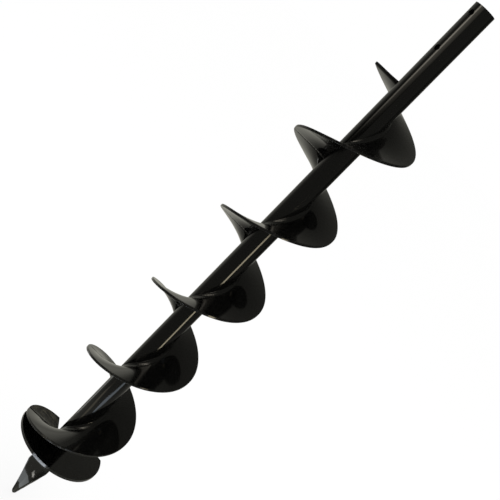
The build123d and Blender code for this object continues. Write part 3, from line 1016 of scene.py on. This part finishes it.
    def glow_material(self, name, colour, strength):
        """A plain glowing surface that lights nothing by itself."""
        material = blank_material(name)
        material.cycles.emission_sampling = "NONE"
        tree = material.node_tree
        glow = add_node(tree, "ShaderNodeEmission", (0, 0), {
            "Color": (*colour, 1), "Strength": strength})
        add_node(tree, "ShaderNodeOutputMaterial", (200, 0), {"Surface": glow.outputs[0]})
        return material

    def make_strip(self, scene, name, near, far, near_width, far_width, colour, strength):
        """A strip of light that lies on the floor between two points."""
        bm = bmesh.new()
        bmesh.ops.create_grid(bm, x_segments=8, y_segments=1, size=0.5)
        start, end = Vector((*near, TIP + STRIP_LIFT)), Vector((*far, TIP + STRIP_LIFT))
        across = (end - start).cross(Z_AXIS).normalized()
        for vert in bm.verts:
            share = vert.co.x + 0.5
            width = near_width + (far_width - near_width) * share
            vert.co = start.lerp(end, share) + across * vert.co.y * width
        strip = self.stage_object(scene, bm, f"studio_strip_{name}")
        self.only_in_gloss(strip)
        strip.data.materials.append(self.glow_material(strip.name, colour, strength))

    def make_window(self, scene, setup):
        """A tall light to the left of the camera, bright along one side, that fades downwards."""
        azimuth = setup.camera_azimuth + WINDOW_TURN
        bm = bmesh.new()
        bmesh.ops.create_grid(bm, x_segments=12, y_segments=12, size=0.5)
        for vert in bm.verts:
            vert.co = Vector((
                WINDOW_DISTANCE, WINDOW_LEFT + (WINDOW_RIGHT - WINDOW_LEFT) * (vert.co.x + 0.5),
                WINDOW_FOOT + (WINDOW_HEAD - WINDOW_FOOT) * (vert.co.y + 0.5)))
        bmesh.ops.rotate(bm, verts=bm.verts, cent=(0, 0, 0), matrix=Matrix.Rotation(azimuth, 3, "Z"))
        window = self.stage_object(scene, bm, "studio_window")
        self.only_in_gloss(window)
        material = self.glow_material(window.name, WINDOW_COLOUR, WINDOW_STRENGTH)
        window.data.materials.append(material)
        tree = material.node_tree
        coords = add_node(tree, "ShaderNodeTexCoord", (-1000, 0)).outputs["Object"]
        height = add_node(tree, "ShaderNodeSeparateXYZ", (-800, 0), {0: coords}).outputs["Z"]
        fade = smooth_step(tree, (-400, 0), height, *WINDOW_FADE)
        across = self.towards(tree, coords, azimuth + math.pi / 2, (-800, -200))
        spread = add_node(tree, "ShaderNodeMapRange", (-600, -200), {
            "Value": across, "From Min": WINDOW_LEFT, "From Max": WINDOW_RIGHT}).outputs["Result"]
        pane = self.grey_ramp(tree, spread, (-400, -200), WINDOW_PANE)
        strength = math_node(tree, "MULTIPLY", (-200, 0), fade, WINDOW_STRENGTH)
        strength = math_node(tree, "MULTIPLY", (-100, 0), strength, pane)
        tree.links.new(strength, tree.nodes["Emission"].inputs["Strength"])

    def make_lamp(self, scene):
        """One large soft lamp overhead, left out of the gloss."""
        data = bpy.data.lights.new("Soft lamp", "AREA")
        data.shape = "DISK"
        data.size = LAMP_SIZE
        data.energy = LAMP_POWER
        lamp = bpy.data.objects.new("Soft lamp", data)
        turn = LAMP_SIGHT.to_track_quat("-Z", "Y").to_matrix().to_4x4()
        lamp.matrix_world = Matrix.Translation(LAMP_PLACE) @ turn
        lamp.visible_glossy = False
        scene.collection.objects.link(lamp)


class SOILAUGER_PT_panel(bpy.types.Panel):
    """Lists the steps that build the auger's looks"""

    bl_idname = "SOILAUGER_PT_panel"
    bl_label = "Soil Auger"
    bl_space_type = "VIEW_3D"
    bl_region_type = "UI"
    bl_category = "Soil Auger"

    def draw(self, context):
        layout = self.layout
        for operator in OPERATORS:
            layout.operator(operator.bl_idname)
        for group, label in ((context.scene.auger_sizes, "Sizes"), (context.scene.auger_finish, "Finish"),
                             (context.scene.auger_studio, "Studio")):
            box = layout.box()
            box.label(text=label)
            for key in group.__annotations__:
                box.prop(group, key)


OPERATORS = (
    SOILAUGER_OT_finishes,
    SOILAUGER_OT_tube,
    SOILAUGER_OT_flights,
    SOILAUGER_OT_lip,
    SOILAUGER_OT_bottom_plate,
    SOILAUGER_OT_pilot,
    SOILAUGER_OT_root_beads,
    SOILAUGER_OT_seams,
    SOILAUGER_OT_studio,
)
GROUPS = (AugerSizes, AugerFinish, StudioSetup)


def register():
    for cls in GROUPS + OPERATORS + (SOILAUGER_PT_panel,):
        bpy.utils.register_class(cls)
    bpy.types.Scene.auger_sizes = PointerProperty(type=AugerSizes)
    bpy.types.Scene.auger_finish = PointerProperty(type=AugerFinish)
    bpy.types.Scene.auger_studio = PointerProperty(type=StudioSetup)


def unregister():
    del bpy.types.Scene.auger_studio
    del bpy.types.Scene.auger_finish
    del bpy.types.Scene.auger_sizes
    for cls in reversed(GROUPS + OPERATORS + (SOILAUGER_PT_panel,)):
        bpy.utils.unregister_class(cls)


def main():
    """Builds everything."""
    register()
    bpy.ops.soil_auger.finishes()
    bpy.ops.soil_auger.tube()
    bpy.ops.soil_auger.flights()
    bpy.ops.soil_auger.lip()
    bpy.ops.soil_auger.bottom_plate()
    bpy.ops.soil_auger.pilot()
    bpy.ops.soil_auger.root_beads()
    bpy.ops.soil_auger.seams()
    bpy.ops.soil_auger.studio()


if __name__ == "__main__":
    main()
